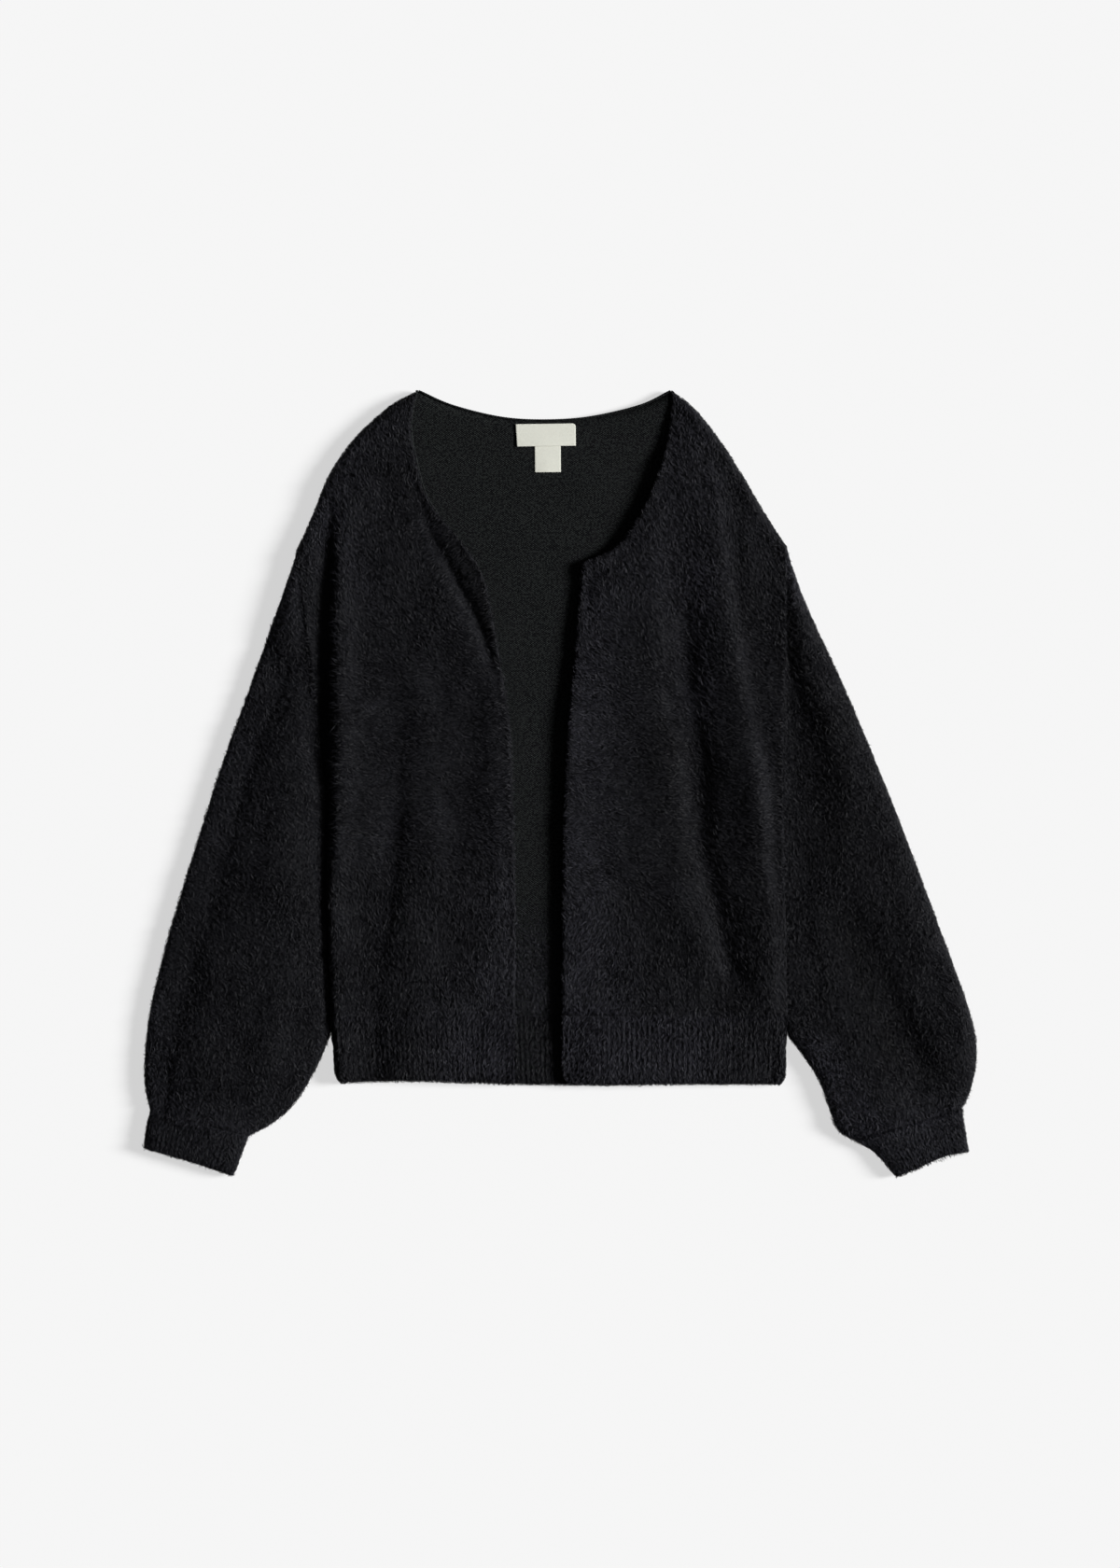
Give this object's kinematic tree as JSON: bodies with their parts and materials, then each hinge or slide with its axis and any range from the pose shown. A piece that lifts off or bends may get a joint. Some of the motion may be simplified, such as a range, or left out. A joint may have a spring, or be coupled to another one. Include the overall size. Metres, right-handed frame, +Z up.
{
  "type": "open-front eyelash-knit cardigan laid flat",
  "caption": "Fluffy black open-front cardigan with balloon sleeves, ribbed cuffs and hem, and bare woven neck labels, laid flat on its back.",
  "frame": {"origin": "on the resting surface, under the middle of the garment's bounding box", "axes": "+X to the wearer's left, across the garment and along its longest side; +Y towards the neck; +Z up off the surface, out of the fronts"},
  "size_m": [0.6993, 0.6586, 0.0164],
  "materials": {
    "eyelash_knit": "matt, fluffy pile",
    "eyelash_rib": "matt, ribbed, fluffy pile",
    "woven_label": "soft satin weave"
  },
  "bodies": {
    "root": {"back_panel": "eyelash_knit", "back_hem": "eyelash_rib", "right_front": "eyelash_knit", "left_front": "eyelash_knit", "right_front_hem": "eyelash_rib", "left_front_hem": "eyelash_rib", "right_sleeve": "eyelash_knit", "left_sleeve": "eyelash_knit", "right_cuff": "eyelash_rib", "left_cuff": "eyelash_rib", "neck_label": "woven_label", "size_label": "woven_label"}
  },
  "joints": []
}
